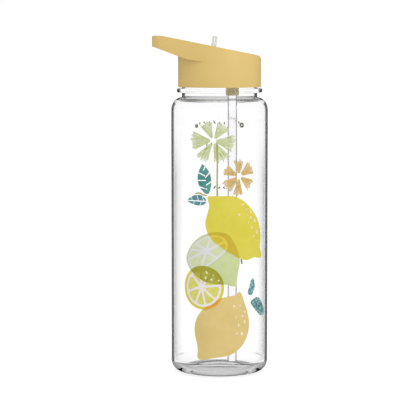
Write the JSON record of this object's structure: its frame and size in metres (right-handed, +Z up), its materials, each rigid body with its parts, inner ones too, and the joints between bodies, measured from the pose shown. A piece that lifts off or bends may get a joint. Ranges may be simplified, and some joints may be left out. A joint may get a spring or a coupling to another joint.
{
  "type": "water bottle",
  "caption": "Clear cylindrical water bottle with a screw lid, a carry beak with a finger slot, a flip-up spout and a drinking straw.",
  "frame": {"origin": "middle of the bounding box's underside, on the surface that the bottle stands on", "axes": "+Z up along the bottle, -X the way the lid's beak points, +X the way the spout folds"},
  "size_m": [0.086, 0.072, 0.2517],
  "materials": {
    "bottle_clear": "clear, polished",
    "lid_plastic": "satin mustard yellow moulding",
    "spout_clear": "clear, polished moulding",
    "insert_plastic": "natural white moulding",
    "sleeve_silicone": "khaki translucent silicone",
    "seal_silicone": "milky translucent silicone"
  },
  "bodies": {
    "bottle": {"bottle_body": "bottle_clear"},
    "gasket": {"mouth_gasket": "seal_silicone"},
    "lid": {"lid_shell": "lid_plastic", "lid_insert": "insert_plastic", "vent_valve": "seal_silicone", "spout_seal": "seal_silicone", "straw_holder": "sleeve_silicone", "straw": "spout_clear"},
    "flip_spout": {"spout": "spout_clear"}
  },
  "joints": [
    {"name": "lid_lift", "type": "slide", "parent": "bottle", "child": "gasket", "axis": [0, 0, 1], "range_m": [0, 0.0088]},
    {"name": "lid_turn", "type": "hinge", "parent": "gasket", "child": "lid", "pos_m": [0.00695, 0, 0.2245], "axis": [0, 0, 1], "range_deg": [0, 630]},
    {"name": "spout_flip", "type": "hinge", "parent": "lid", "child": "flip_spout", "pos_m": [0.00565, 0, 0.236], "axis": [0, 1, 0], "range_deg": [0, 93.4]}
  ],
  "couplings": [
    {"joint": "lid_lift", "follows": "lid_turn", "m_per_rad": 0.00079577}
  ]
}
